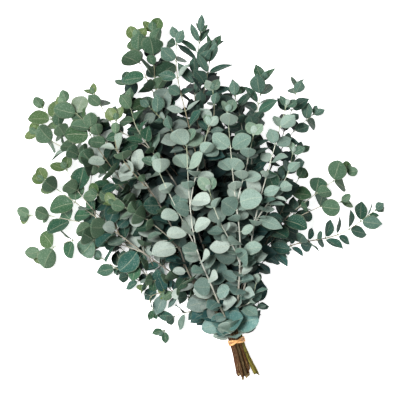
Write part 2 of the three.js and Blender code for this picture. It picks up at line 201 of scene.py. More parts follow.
def finish_of(name, plain):
    """A new material with those plain values in its main shader, and a wire to start its sums from."""
    material = bpy.data.materials.new(name)
    material.use_nodes = True
    for socket, value in plain.items():
        material.node_tree.nodes["Principled BSDF"].inputs[socket].default_value = value
    return material, Wire(material.node_tree)


def feed(socket, wire):
    """Links a wire to its material's main shader."""
    wire.tree.links.new(wire.socket, wire.tree.nodes["Principled BSDF"].inputs[socket])


table_finish, wire = finish_of("white_table", {"Roughness": 0.9, "Specular IOR Level": 0.1,
                                               "Emission Strength": TABLE_GLOW})
spot = wire.spot()
from_thick, from_neck = (wire.node("VectorMath", {0: spot, 1: dark}, output="Value", operation="DISTANCE")
                         for dark in (THICK_MIDDLE, NECK_MIDDLE))
lit = from_thick.rise(*THICK_EDGE) * from_neck.rise(*NECK_EDGE)
feed("Emission Color", lit.mix((0, 0, 0), (255, 255, 255)))
grain = wire.node("TexNoise", {"Scale": 9.0, "Detail": 2.0})
feed("Base Color", grain.mix((250, 250, 250), (255, 255, 255)))

half = TABLE_WIDTH / 2
table_mesh = bpy.data.meshes.new("table")
corners = [(x, y, -TABLE_DROP) for x, y in ((-half, -half), (half, -half), (half, half), (-half, half))]
table_mesh.from_pydata(corners, [], [(0, 1, 2, 3)])
table = bpy.data.objects.new("table", table_mesh)
table.data.materials.append(table_finish)
bpy.context.scene.collection.objects.link(table)


# The rubber band: one flat tan band wound three times round the bundle, its turns side by side, with the
# last stretch crossing back over them on top.
MM = 0.001
CLEARANCE = 0.3 * MM
STEM_RADIUS = 2.0 * MM
STEM_PITCH = 4.3 * MM
ROW_RISE = STEM_PITCH * math.sqrt(3) / 2
ROWS_BELOW = 2
BAND_THICKNESS = 1.5 * MM
STRAND_WIDTH = 2.6 * MM
STRAND_FILL = 0.97
STRANDS = 3
BAND_HALF = STRAND_WIDTH * STRANDS / 2
BUNDLE_MIDDLE = BAND_THICKNESS + CLEARANCE + STEM_RADIUS + ROWS_BELOW * ROW_RISE
BAND_ROUND = 0.55 * MM
BAND_STEPS = 72
SECTION_STEPS = 5
CROSSING_ARC = math.radians(38)
CROSSING_LIFT = 0.85
HALF_WAY = 0.5


def unit(vector):
    return vector / np.linalg.norm(vector)


def build_piece(name, vertices, faces, finish, values, skin_map=None):
    """A smooth mesh object with a value for each vertex under each name in values, and the place of each
    on its skin, across and along."""
    mesh = bpy.data.meshes.new(name)
    mesh.from_pydata([tuple(vertex) for vertex in vertices], [], faces)
    mesh.polygons.foreach_set("use_smooth", np.ones(len(mesh.polygons), bool))
    for label, numbers in values.items():
        attribute = mesh.attributes.new(label, "FLOAT", "POINT")
        attribute.data.foreach_set("value", np.asarray(numbers, np.float32))
    if skin_map is not None:
        corner = np.zeros(len(mesh.loops), np.int32)
        mesh.loops.foreach_get("vertex_index", corner)
        layer = mesh.uv_layers.new(name="skin")
        layer.data.foreach_set("uv", np.asarray(skin_map, np.float32)[corner].ravel())
    mesh.materials.append(finish)
    piece = bpy.data.objects.new(name, mesh)
    bpy.context.scene.collection.objects.link(piece)
    return piece


def way_round(angle):
    """The direction at an angle round the bundle."""
    return np.array([math.cos(angle), 0, math.sin(angle)])


def round_bundle(angle):
    """The point at an angle on the rounded six-sided outline of the bundle, and the way that it faces."""
    sector = round(angle / (math.pi / 3)) * math.pi / 3
    turn = angle - sector
    corner = STEM_RADIUS + CLEARANCE
    reach = ROWS_BELOW * STEM_PITCH
    # Past the corner's round the outline is straight, at the flat's distance
    if abs(turn) <= math.atan2(corner * 0.5, reach + corner * math.cos(math.pi / 6)):
        span = reach * math.cos(turn) + math.sqrt(max(corner ** 2 - (reach * math.sin(turn)) ** 2, 0))
        point = way_round(angle) * span
        facing = unit(point - way_round(sector) * reach)
    else:
        side = sector + math.copysign(math.pi / 6, turn)
        flat = reach * math.cos(math.pi / 6) + corner
        point = way_round(angle) * flat / math.cos(angle - side)
        facing = way_round(side)
    return point + np.array([0, 0, BUNDLE_MIDDLE]), facing


def band_section():
    """The band's rounded section, as places across its width and through its thickness."""
    places = []
    for corner in range(4):
        middle_y = (STRAND_WIDTH / 2 - BAND_ROUND) * (1 if corner in (0, 3) else -1)
        middle_z = BAND_THICKNESS / 2 + (BAND_THICKNESS / 2 - BAND_ROUND) * (1 if corner < 2 else -1)
        for step in range(SECTION_STEPS):
            way = math.pi / 2 * (corner + step / (SECTION_STEPS - 1))
            places.append((middle_y + math.cos(way) * BAND_ROUND, middle_z + math.sin(way) * BAND_ROUND))
    return places


def between_rings(before, after, count):
    """The faces between two rings of vertices, each ring given by its first."""
    return [(before + i, after + i, after + (i + 1) % count, before + (i + 1) % count)
            for i in range(count)]


def wind_band():
    """The band's vertices and faces, and for each vertex how near it is to the middle strand, which the
    finish darkens as painted shade, and 0 where the last stretch crosses on top.
    """
    vertices, faces, inner = [], [], []
    section = band_section()
    count = len(section)
    steps = BAND_STEPS * STRANDS
    for step in range(steps):
        turns = step / BAND_STEPS
        strand = int(turns)
        from_top = (turns - strand) * 2 * math.pi
        to_top = (1 - (turns - strand)) * 2 * math.pi
        point, facing = round_bundle(math.pi / 2 + from_top)
        # The band runs level but on top, where each turn slopes to the next and the last crosses back
        slope = max(0.0, 1 - to_top / CROSSING_ARC) * HALF_WAY
        behind = max(0.0, 1 - from_top / CROSSING_ARC) * HALF_WAY
        here, before, after = (((i + STRANDS) % STRANDS) - 1 for i in (strand, strand - 1, strand + 1))
        shift = (here + (after - here) * slope + (before - here) * behind) * STRAND_WIDTH
        crossing = max(slope if strand == STRANDS - 1 else 0.0, behind if strand == 0 else 0.0) / HALF_WAY
        lift = BAND_THICKNESS * CROSSING_LIFT * math.sin(crossing * math.pi / 2) ** 0.6
        # Its width varies a little along it
        swell = 1 + 0.05 * math.sin(turns * 37) + 0.04 * math.sin(turns * 91 + 1)
        for across, out in section:
            spot = point + facing * (out + lift)
            vertices.append(spot + np.array([0, shift + across * STRAND_FILL * swell, 0]))
        inner += [max(0.0, 1 - abs(shift) / STRAND_WIDTH) * (1 - crossing)] * count
        faces += between_rings(step * count, (step + 1) % steps * count, count)
    return vertices, faces, inner


def bump(height, strength, depth):
    feed("Normal", height.node("Bump", {"Height": height, "Strength": strength, "Distance": depth}))


band_finish, wire = finish_of("tan_rubber", {"Specular IOR Level": 0.4})
spot = wire.spot()
cloud = wire.noise(spot, 260.0, 3.0)
speck = wire.noise(spot, 1400.0, 4.0)
tan = cloud.ramp((0.3, (196, 128, 62)), (0.55, (228, 165, 92)), (0.75, (243, 194, 130)))
tan = (speck * 0.3).mix(tan, (250, 214, 160))
# Painted shade: the middle turn, between the other two, is darkened, but not where the last stretch crosses
# on top
feed("Base Color", (wire.value("inner") * 0.75).mix(tan, (150, 88, 34)))
feed("Roughness", speck * 0.25 + 0.35)
bump(cloud * 0.6 + speck * 0.4, 0.35, 0.2 * MM)
vertices, faces, inner = wind_band()
rubber_band = build_piece("rubber_band", vertices, faces, band_finish, {"inner": inner})
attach(rubber_band, "root")
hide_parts("tie_band")


# The stems: nineteen cut branches with their side shoots, thin and woody. They lie side by side in the
# band in five rows, spread below it to their slanting cut ends, and fan out above it.
CUT_END = -54 * MM
CUT_END_SPREAD = 1.5
FOOT_RADIUS = 2.1 * MM
TIP_RADIUS = 0.6 * MM
SHOOT_RADIUS = 1.2 * MM
SHOOT_TIP_RADIUS = 0.5 * MM
STRAIGHT_PAST_BAND = 3 * MM
STEM_STEP = 40 * MM
SHOOT_BARE = 10 * MM
CURVE_PARTS = 200

# A kind of leaf: its width in shares of its length, and how much of that it has near, midway and far out
Kind = namedtuple("Kind", "width near mid far")
COIN = Kind(0.92, 0.8, 1, 0.74)
OVAL = Kind(0.7, 0.84, 1, 0.56)
LANCE = Kind(0.42, 0.82, 1, 0.5)

# Each stem: its column and row in the band, the points that it passes above the band, the length above it
# that is bare, its leaves' kind, size and slot, what it has of its own, and its side shoots, each with the
# share of the stem where it leaves and the points that it passes. Lengths are in millimetres. Of its own:
#   sparse       how much further apart its pairs of leaves in the imported model stand
#   close, more  how far apart the pairs between those stand, and how big they are, in shares of a leaf
#   fine         how big its fine blades are, in shares of the imported ones
#   tone, shade  between which tones its leaves are, 0 deep and 1 light, and how much of the painted shade
#   they get
#   bloom        the tone from which its leaves have silver bloom, and how far along it that goes
#   pale         its wood is cream and not brown
#   splay        how far its cut end bends aside
#   cut_shorter  how much of what is cut off each stem at random is cut off it
Stem = namedtuple("Stem", "cell via bare leaf size slot own shoots")
STEMS = [
    # On top of the bunch
    Stem((-1, 2), [(-10, 80, 50), (-15, 145, 86), (-5, 210, 104), (15, 290, 108)],
         22, COIN, 33, "leaf_silver", {"tone": (0.15, 1), "pale": True},
         [(0.45, [(-30, 235, 114), (-35, 270, 106)]), (0.7, [(35, 275, 114), (50, 300, 104)])]),
    Stem((0, 2), [(20, 60, 44), (45, 135, 88), (60, 215, 108), (80, 310, 106)],
         16, COIN, 32, "leaf_silver", {"tone": (0.1, 1), "pale": True},
         [(0.35, [(25, 180, 114), (25, 215, 118)]), (0.6, [(85, 235, 112), (105, 270, 106)])]),
    Stem((1, 2), [(40, 85, 52), (75, 160, 82), (115, 225, 96), (160, 295, 90)],
         22, OVAL, 30, "leaf_silver", {"tone": (0, 0.95), "pale": True},
         [(0.12, [(35, 50, 46), (50, 72, 50)]), (0.5, [(130, 200, 92), (150, 230, 86)])]),

    # The outer sprays, from the left round to the right
    Stem((-1.5, -1), [(-40, 90, 16), (-90, 160, 24), (-145, 235, 30), (-192, 296, 24)],
         50, COIN, 33, "leaf_green",
         {"fine": 1.02, "close": 0.95, "tone": (0.25, 0.95), "shade": 0.5, "bloom": (0.45, 0.62)},
         [(0.5, [(-165, 202, 24), (-228, 202, 14)]), (0.62, [(-205, 250, 24), (-228, 256, 16)]),
          (0.66, [(-150, 265, 38), (-158, 302, 34)])]),
    Stem((-2, 0), [(-30, 95, 26), (-65, 205, 46), (-105, 280, 56), (-140, 335, 48), (-165, 395, 34)],
         60, COIN, 34, "leaf_green", {"tone": (0.1, 1), "shade": 0.75, "bloom": (0.4, 0.76)},
         [(0.5, [(-105, 315, 68), (-115, 360, 60)]), (0.35, [(-95, 230, 56), (-125, 255, 52)]),
          (0.72, [(-160, 340, 46), (-182, 362, 34)])]),
    Stem((-1.5, 1), [(-35, 105, 40), (-40, 185, 68), (-65, 275, 84), (-100, 335, 78), (-130, 390, 60)],
         40, COIN, 32, "leaf_green", {"tone": (0.25, 1), "bloom": (0.45, 0.86)},
         [(0.35, [(-75, 210, 78), (-105, 235, 74)]), (0.55, [(-80, 305, 92), (-70, 345, 86)])]),
    Stem((-0.5, 1), [(-5, 110, 38), (-10, 205, 72), (-35, 290, 86), (-75, 340, 80), (-88, 390, 64)],
         60, OVAL, 32, "leaf_green", {"tone": (0, 0.7)},
         [(0.6, [(-45, 325, 94), (-45, 365, 84)])]),
    Stem((-1, 0), [(-5, 130, 26), (-5, 255, 54), (-5, 365, 62), (14, 450, 48)],
         90, COIN, 32, "leaf_green", {"fine": 1.04, "tone": (0, 0.7), "bloom": (0.5, 0.85)},
         [(0.75, [(-15, 415, 64), (-10, 445, 60)]), (0.5, [(-35, 305, 66), (-45, 350, 60)])]),
    Stem((0.5, 1), [(15, 115, 38), (20, 220, 76), (25, 320, 92), (30, 385, 84), (43, 430, 70)],
         70, OVAL, 30, "leaf_teal", {"tone": (0.3, 1), "bloom": (0.45, 0.94)},
         [(0.55, [(0, 310, 92), (-20, 350, 82)]), (0.6, [(60, 310, 96), (70, 345, 88)])]),
    Stem((0, 0), [(10, 140, 26), (30, 250, 56), (45, 350, 66), (78, 430, 52)],
         90, LANCE, 36, "leaf_teal", {"close": 0.42, "more": (0.82, 1.0), "fine": 1.14, "tone": (0, 0.7)},
         [(0.7, [(70, 370, 72), (84, 400, 66)]), (0.45, [(60, 265, 66), (75, 305, 62)])]),
    Stem((1.5, 1), [(45, 105, 38), (80, 200, 72), (110, 280, 82), (141, 338, 74)],
         50, OVAL, 31, "leaf_teal",
         {"close": 0.42, "fine": 1.15, "splay": 2.5, "tone": (0, 0.8), "shade": 0.8, "pale": True},
         [(0.6, [(95, 295, 82), (98, 330, 72)]), (0.3, [(100, 170, 72), (125, 200, 70)])]),
    Stem((1, 0), [(50, 120, 26), (100, 200, 50), (155, 255, 54), (196, 275, 42)],
         70, OVAL, 30, "leaf_teal", {"tone": (0, 0.65), "pale": True},
         [(0.65, [(165, 285, 58), (184, 316, 48)])]),
    Stem((2, 0), [(55, 95, 24), (105, 140, 40), (160, 165, 46), (216, 184, 38)],
         60, COIN, 32, "leaf_green",
         {"close": 0.95, "splay": 3.5, "cut_shorter": 0.1, "tone": (0, 0.3), "shade": 0.75},
         [(0.55, [(165, 148, 40), (198, 146, 30)]), (0.3, [(120, 165, 48), (150, 195, 46)])]),
    Stem((1.5, -1), [(45, 90, 15), (110, 107, 20), (185, 103, 22), (242, 120, 18)],
         60, OVAL, 24, "leaf_teal", {"fine": 1.2, "splay": 2.0, "tone": (0.1, 0.5), "shade": 0.45},
         [(0.3, [(113, 138, 30), (140, 155, 28)])]),

    # Underneath, on or close to the table
    Stem((-1, -2), [(-30, 65, 8), (-80, 100, 11), (-125, 140, 13), (-148, 168, 11)],
         40, OVAL, 28, "leaf_teal", {"tone": (0.05, 0.95)},
         [(0.2, [(-70, 60, 10), (-94, 44, 8)]), (0.5, [(-98, 96, 11), (-100, 78, 8)]),
          (0.55, [(-123, 181, 13), (-152, 196, 11)])]),
    Stem((-0.5, -1), [(-10, 140, 16), (-25, 255, 32), (-35, 335, 38), (-42, 392, 26)],
         90, COIN, 31, "leaf_dark", {"sparse": 1.5},
         [(0.6, [(-65, 300, 38), (-88, 335, 32)])]),
    Stem((0.5, -1), [(25, 130, 16), (50, 225, 32), (75, 290, 38), (102, 335, 28)],
         90, OVAL, 31, "leaf_dark", {"sparse": 1.5}, []),
    Stem((1, -2), [(55, 100, 8), (105, 177, 11), (163, 230, 10)],
         50, OVAL, 29, "leaf_dark", {"sparse": 1.5, "tone": (0.5, 1)},
         [(0.25, [(89, 109, 10), (117, 118, 9)]), (0.1, [(37, 34, 9), (53, 53, 9)])]),
    Stem((0, -2), [(-5, 155, 8), (0, 270, 11), (10, 355, 11), (5, 420, 9)],
         90, COIN, 30, "leaf_dark", {"sparse": 1.5},
         [(0.5, [(58, 294, 13), (79, 330, 11)])]),
]

UP = np.array([0.0, 0.0, 1.0])
ALONG = np.array([0.0, 1.0, 0.0])


class StemCurve:
    """A smooth curve through points, with the directions that are given at some of them. Its places are
    shares of its length, measured over equal parts of its own parameter."""

    def __init__(self, points, directions):
        self.points = points
        last = len(points) - 1
        self.directions = [directions.get(i, unit(points[min(i + 1, last)] - points[max(i - 1, 0)]))
                           for i in range(last + 1)]
        marks = [self.point(i / CURVE_PARTS) for i in range(CURVE_PARTS + 1)]
        steps = [np.linalg.norm(after - before) for before, after in zip(marks, marks[1:])]
        self.reached = np.concatenate([[0.0], np.cumsum(steps)])
        self.length = self.reached[-1]

    def point(self, t):
        spans = len(self.points) - 1
        i = min(int(t * spans), spans - 1)
        s = t * spans - i
        start, end = self.points[i], self.points[i + 1]
        reach = np.linalg.norm(end - start)
        return (start * (2 * s ** 3 - 3 * s ** 2 + 1)
                + self.directions[i] * reach * (s ** 3 - 2 * s ** 2 + s)
                + end * (3 * s ** 2 - 2 * s ** 3)
                + self.directions[i + 1] * reach * (s ** 3 - s ** 2))

    def parameter(self, share):
        return float(np.interp(share * self.length, self.reached, np.linspace(0, 1, CURVE_PARTS + 1)))

    def at(self, share):
        return self.point(self.parameter(share))

    def heading(self, share):
        t = self.parameter(share)
        near = 0.0001
        return unit(self.point(min(t + near, 1)) - self.point(max(t - near, 0)))


class Axis:
    """A stem or a shoot: its curve, the radii at its ends, the length of it that has no leaves, and the
    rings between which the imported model's tube runs straight."""

    def __init__(self, curve, straight, start_radius, end_radius, bare):
        self.curve = curve
        self.length = curve.length
        self.start_radius = start_radius
        self.end_radius = end_radius
        self.bare = bare
        first = straight[-1] / self.length if straight else 0.0
        steps = math.ceil(self.length * (1 - first) / STEM_STEP)
        self.stops = [distance / self.length for distance in straight]
        self.stops += [first + (1 - first) * step / steps for step in range(1 if straight else 0, steps + 1)]
        self.rings = [curve.at(stop) for stop in self.stops]

    def radius(self, share):
        return self.start_radius + (self.end_radius - self.start_radius) * share

    def on_chord(self, share):
        """The place at a share of the length, on the straight line between two rings."""
        after = max(1, next(i for i, stop in enumerate(self.stops) if stop >= share))
        before = after - 1
        part = (share - self.stops[before]) / (self.stops[after] - self.stops[before])
        return self.rings[before] * (1 - part) + self.rings[after] * part

    def ways(self, share):
        """The directions along the axis, sideways, and up as far as the axis lets it."""
        along = self.curve.heading(share)
        up = unit(UP - along * along[2])
        return along, np.cross(along, up), up


def points_of(via):
    return [np.array(point, float) * MM for point in via]


def stem_axis(stem):
    column, row = stem.cell
    x = column * STEM_PITCH
    z = BUNDLE_MIDDLE + row * ROW_RISE
    foot = np.array([x * CUT_END_SPREAD, CUT_END,
                     FOOT_RADIUS + (row + ROWS_BELOW) * ROW_RISE * CUT_END_SPREAD])
    enter = np.array([x, -BAND_HALF - STRAIGHT_PAST_BAND, z])
    leave = np.array([x, BAND_HALF + STRAIGHT_PAST_BAND, z])
    below = np.linalg.norm(enter - foot)
    tie = below + np.linalg.norm(leave - enter)
    curve = StemCurve([foot, enter, leave, *points_of(stem.via)], {1: ALONG, 2: ALONG})
    return Axis(curve, [0.0, below, tie], FOOT_RADIUS, TIP_RADIUS, tie + stem.bare * MM)


def tie_of(axis, stem):
    """How far along the stem's axis it leaves the band."""
    return axis.bare - stem.bare * MM


def shoot_axis(main, stem, leaves_at, via):
    tie = tie_of(main, stem)
    share = (tie + (main.length - tie) * leaves_at) / main.length
    root = main.on_chord(share)
    via = points_of(via)
    away = unit(unit(via[0] - root) + main.curve.heading(share))
    return Axis(StemCurve([root, *via], {0: away}), [], SHOOT_RADIUS, SHOOT_TIP_RADIUS, SHOOT_BARE)


plants = []
for stem in STEMS:
    main = stem_axis(stem)
    axes = [main] + [shoot_axis(main, stem, leaves_at, via) for leaves_at, via in stem.shoots]
    plants.append((stem, axes))


# The leaves: dry, stiff and nearly flat blades in opposite pairs on short stalks. Each pair stands across
# the one below it, and every blade turns part of the way to the light.
RIB = 1.2 * MM
STALK_LENGTH = 2.5 * MM
STALK_HALF = 0.5 * MM
ROOT_SUNK = 0.6
KEEL = 0.36
THIN_BELOW = 20 * MM
LEAN = 68
LEAN_LESS = 14
FIRST_SIZE = 1.08
SIZE_LESS = 0.16
FIRST_TURN_VARIES = 60
PAIR_TURN_VARIES = 50
LEAF_TURN_VARIES = 16
LEAF_LEAN_VARIES = 24
TIP_LEAN = 32
TIP_SIZE = 0.62
TIP_BARE = 8 * MM
INNER_STEP = 1.9
OUTER_STEP = 1.05
OUTER_FROM = 0.7
EDGE_PLACES = (0.2, 0.5, 0.8)
SMALL_EDGE = [(0.3, 0.92), (0.72, 0.84)]
SMALL_BLADE = 28 * MM
PRESSED = 7 * MM
UPRIGHT = 0.4
SAME_PLACE = 0.02 * MM
SAME_CORNERS = 3

# Each the least, and how much more it can be
LEAF_SIZE = (0.85, 0.3)
LEAF_TWIST = (0.4, 0.6)
LEAF_FOLD = (0.08, 0.2)
STEP_BY_WIDTH = (0.4, 0.6)

# Where a leaf has no room as it grew, it gives way: how far it turns round the stem and folds up towards
# it, in degrees, and how much smaller it is
GIVING_WAY = [
    (0, 0, 1), (18, 0, 1), (-18, 0, 1), (0, -15, 0.95), (38, -8, 0.92), (-38, -8, 0.92), (58, 0, 0.9),
    (-58, 0, 0.9), (85, -10, 0.85), (-85, -10, 0.85), (0, -28, 0.75), (35, -25, 0.7), (-35, -25, 0.7),
]
Pair = namedtuple("Pair", "distance turn lean size")
Leaf = namedtuple("Leaf", "distance turn lean size twist fold")


def draws(seed):
    """Seeded draws, each from 0 to 1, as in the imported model."""
    state = seed * 7919 + 12345
    skipped = 0
    while True:
        state = state * 16807 % 2147483647
        skipped += 1
        if skipped > 4:
            yield state / 2147483647


def grade(limits, share):
    return limits[0] + limits[1] * share


def leaf_pairs(axis, stem, draw):
    """Every pair of leaves along an axis, from its bare stretch to its tip."""
    pairs = []
    full = stem.size * MM
    distance = axis.bare
    turn = next(draw) * FIRST_TURN_VARIES - FIRST_TURN_VARIES / 2
    while distance < axis.length - TIP_BARE:
        share = (distance - axis.bare) / (axis.length - axis.bare)
        step = INNER_STEP if share < OUTER_FROM else OUTER_STEP
        size = full * (FIRST_SIZE - SIZE_LESS * share)
        pairs.append(Pair(distance, turn, LEAN - LEAN_LESS * share, size))
        distance += step * stem.own.get("sparse", 1) * size * grade(STEP_BY_WIDTH, stem.leaf.width)
        turn += 90 + next(draw) * PAIR_TURN_VARIES - PAIR_TURN_VARIES / 2
    pairs.append(Pair(axis.length - 1 * MM, turn, TIP_LEAN, full * TIP_SIZE))
    return pairs


def pair_leaves(pair, draw):
    """The leaves of a pair, opposite each other, with what is drawn for each."""
    return [Leaf(distance=pair.distance,
                 turn=pair.turn + opposite + next(draw) * LEAF_TURN_VARIES - LEAF_TURN_VARIES / 2,
                 lean=pair.lean + next(draw) * LEAF_LEAN_VARIES - LEAF_LEAN_VARIES / 2,
                 size=pair.size * grade(LEAF_SIZE, next(draw)),
                 twist=grade(LEAF_TWIST, next(draw)),
                 fold=grade(LEAF_FOLD, next(draw))) for opposite in (0, 180)]


class LeafPlace:
    """Where a leaf grows: its root in the stem, the way it points, and its face, turned to the light."""

    def __init__(self, axis, leaf, way):
        turn_more, lean_more, smaller = way
        share = min(leaf.distance / axis.length, 1)
        along, side, up = axis.ways(share)
        turn = math.radians(leaf.turn + turn_more)
        lean = math.radians(leaf.lean + lean_more)
        out = side * math.cos(turn) + up * math.sin(turn)
        self.root = axis.on_chord(share)
        self.bent_root = axis.curve.at(share)
        self.point = along * math.cos(lean) + out * math.sin(lean)
        face = along * math.sin(lean) - out * math.cos(lean)
        light = unit(UP - self.point * self.point[2])
        towards = -1 if face @ light < -0.5 else 1
        self.face = unit(face * (1 - leaf.twist) + light * towards * leaf.twist)
        self.across = np.cross(self.face, self.point)
        self.radius = axis.radius(share)
        self.length = leaf.size * smaller
        self.fold = leaf.fold
        self.reach = share

    def spread(self, root, local):
        """Places along, across and out of the leaf's face, as places in the bunch."""
        return (root + np.multiply.outer(local[..., 0], self.point)
                + np.multiply.outer(local[..., 1], self.across)
                + np.multiply.outer(local[..., 2], self.face))

    def middle(self):
        """A spot past the middle of its blade."""
        return self.bent_root + self.point * self.length * 0.6


def rough_blade(place, kind, grow=0.0):
    """The corners of the leaf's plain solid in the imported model, or nothing where the table would press
    its edges up too far."""
    half = place.length * kind.width / 2
    edge = SMALL_EDGE if place.length < SMALL_BLADE else zip(EDGE_PLACES, kind[1:])
    start = place.radius + STALK_LENGTH
    side = [(start, STALK_HALF, grow)]
    for share, width in edge:
        reach = half * width + grow
        side.append((start + share * place.length, reach, place.fold * reach))
    thickness = RIB * min(1, place.length / THIN_BELOW) + grow
    local = [(-ROOT_SUNK * place.radius, 0, grow), *side, *[(x, -y, z) for x, y, z in side],
             (start + place.length + grow, 0, grow), (start + KEEL * place.length, 0, -thickness)]
    corners = place.spread(place.root, np.array(local))
    faces_up = place.face[2] > 0
    lowest = np.full(len(local), RIB / 2 if faces_up else 0.0)
    lowest[-1] = 0.0 if faces_up else RIB / 2
    pressed = (lowest - corners[:, 2]).max()
    corners[:, 2] = np.maximum(corners[:, 2], lowest)
    if pressed > (0 if abs(place.face[2]) < UPRIGHT else PRESSED):
        return None
    return corners


def rough_triangles(corners):
    """The faces of a plain leaf with that many corners."""
    side = (corners - 3) // 2
    left, right, tip, rib = 1, 1 + side, 1 + 2 * side, 2 + 2 * side
    faces = [(0, right, left), (tip, left, right)]
    for first in (left, right):
        rim = [0, *range(first, first + side), tip]
        faces += [(rim[i + 1], rim[i], tip) for i in range(1, len(rim) - 2)]
        faces += [(rib, rim[i], rim[i + 1]) for i in range(len(rim) - 1)]
    return faces


class Solid:
    """A plain solid, with the ball round it and a tree of its faces, to test what it touches."""

    def __init__(self, corners, faces):
        self.centre = corners.mean(0)
        self.radius = np.linalg.norm(corners - self.centre, axis=1).max()
        self.tree = BVHTree.FromPolygons([tuple(corner) for corner in corners], faces, all_triangles=True)


class Crowd:
    """What a leaf has to pass clear of: the plain solids of stems and leaves, and whose each is."""

    def __init__(self):
        self.centres = np.zeros((0, 3))
        self.radii = np.zeros(0)
        self.trees = []

    def add(self, solid, owner):
        self.centres = np.vstack([self.centres, solid.centre])
        self.radii = np.append(self.radii, solid.radius)
        self.trees.append((solid.tree, owner))

    def clear_of(self, solid, owner):
        near = np.linalg.norm(self.centres - solid.centre, axis=1) < self.radii + solid.radius
        others = [self.trees[i] for i in np.flatnonzero(near)]
        return not any(whose is not owner and tree.overlap(solid.tree) for tree, whose in others)


def tube_prism(axis, before, after):
    """A three-sided bar round a stretch of an axis, between two of its rings."""
    corners = []
    for stop in (before, after):
        along, side, up = axis.ways(axis.stops[stop])
        radius = axis.radius(axis.stops[stop]) * 2
        for turn in (0, 2, 4):
            way = math.pi / 3 * turn
            corners.append(axis.rings[stop] + (side * math.cos(way) + up * math.sin(way)) * radius)
    faces = [(0, 1, 2), (3, 5, 4), (0, 3, 1), (1, 3, 4), (1, 4, 2), (2, 4, 5), (2, 5, 0), (0, 5, 3)]
    return Solid(np.array(corners), faces)


crowd = Crowd()
for stem, axes in plants:
    for axis in axes:
        for after in range(1, len(axis.stops)):
            crowd.add(tube_prism(axis, after - 1, after), axis)

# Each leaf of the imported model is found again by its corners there
grown = []
for number, (stem, axes) in enumerate(plants):
    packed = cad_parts[f"stem_{number + 1:02d}"].data.vertices
    corners_there = KDTree(len(packed))
    for i, vertex in enumerate(packed):
        corners_there.insert(vertex.co, i)
    corners_there.balance()
    for branch, axis in enumerate(axes):
        draw = draws(number * 10 + branch + 1)
        pairs = leaf_pairs(axis, stem, draw)
        found = []
        for pair in pairs:
            for leaf in pair_leaves(pair, draw):
                tries = []
                for way in GIVING_WAY:
                    place = LeafPlace(axis, leaf, way)
                    corners = rough_blade(place, stem.leaf)
                    if corners is not None:
                        known = sum(corners_there.find(corner)[2] < SAME_PLACE for corner in corners)
                        tries.append((known, -len(tries), place, corners))
                best = max(tries, key=lambda made: made[:2], default=None)
                if best and best[0] >= SAME_CORNERS:
                    found.append(best[2])
                    crowd.add(Solid(best[3], rough_triangles(len(best[3]))), axis)
        grown.append((number, branch, axis, pairs, found))

# The leaves between those: a real branch bears a pair every 20 mm or so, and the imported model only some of
# them. These fill in wherever they find room, and stand more across the stem. Spacings are in shares of a
# leaf's full size.
PAIR_SPACING = 0.52
OUTER_SPACING = 0.62
TOP_SPACING = 0.86
LOW_TOP_SPACING = 0.42
TOP_FROM = 195 * MM
TOP_ROW = 2
THICK_REACH = 0.138
NECK_FROM = 20 * MM
NECK_TO = 110 * MM
NECK_HALF = 24 * MM
NECK_WIDENS = 0.4
BETWEEN_SIZE = (0.6, 0.86)
ALONG_SIZE = (0.75, 1.05)
ALONG_LEAN = (52, 74)
ALONG_STEP_VARIES = (0.85, 1.15)
ALONG_TURN_VARIES = (-25, 25)
TEST_GROW = 0.2 * MM
random_leaf = random.Random(11)


def drawn(limits):
    return random_leaf.uniform(*limits)


def random_draws():
    while True:
        yield random_leaf.random()


def in_the_thick(spot):
    x, y = spot[0], spot[1]
    over_tie = NECK_FROM < y < NECK_TO and abs(x) < NECK_HALF + NECK_WIDENS * (y - NECK_FROM)
    return over_tie or math.hypot(x - THICK_MIDDLE[0], y - THICK_MIDDLE[1]) < THICK_REACH


def pairs_between(pairs, axis, stem):
    """More pairs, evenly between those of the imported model, closest in the thick of the bunch."""
    more = []
    full = stem.size * MM
    for before, after in zip(pairs, pairs[1:]):
        gap = after.distance - before.distance
        there = axis.curve.at(after.distance / axis.length)
        spacing = stem.own.get("close", PAIR_SPACING if in_the_thick(there) else OUTER_SPACING)
        if stem.cell[1] == TOP_ROW:
            spacing = TOP_SPACING if there[1] > TOP_FROM else LOW_TOP_SPACING
        count = round(gap / (spacing * full)) - 1
        for i in range(1, count + 1):
            part = i / (count + 1)
            more.append(Pair(before.distance + gap * part, before.turn + 90 * i + 45 * (count == 1),
                             before.lean + (after.lean - before.lean) * part,
                             before.size * drawn(stem.own.get("more", BETWEEN_SIZE))))
    return more


def pairs_along(first, last, step, full):
    """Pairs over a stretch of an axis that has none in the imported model."""
    pairs = []
    distance = first
    turn = drawn((0, 180))
    while distance < last:
        pairs.append(Pair(distance, turn, drawn(ALONG_LEAN), full * drawn(ALONG_SIZE)))
        distance += step * drawn(ALONG_STEP_VARIES)
        turn += 90 + drawn(ALONG_TURN_VARIES)
    return pairs


def grow_leaves(pairs, axis, kind, twist, found, inside=False):
    """Leaves in pairs, each where it first finds room. Those that find none aren't there. Twist is how far
    each turns to the light at least, and how much of what is drawn for it comes to that."""
    draw = random_draws()
    for pair in pairs:
        made = []
        for leaf in pair_leaves(pair, draw):
            leaf = leaf._replace(twist=grade(twist, leaf.twist))
            for way in GIVING_WAY:
                place = LeafPlace(axis, leaf, way)
                corners = rough_blade(place, kind, TEST_GROW)
                if corners is None or inside and not in_the_thick(corners.mean(0)):
                    continue
                solid = Solid(corners, rough_triangles(len(corners)))
                if crowd.clear_of(solid, axis):
                    made.append(solid)
                    found.append(place)
                    break
        for solid in made:
            crowd.add(solid, axis)


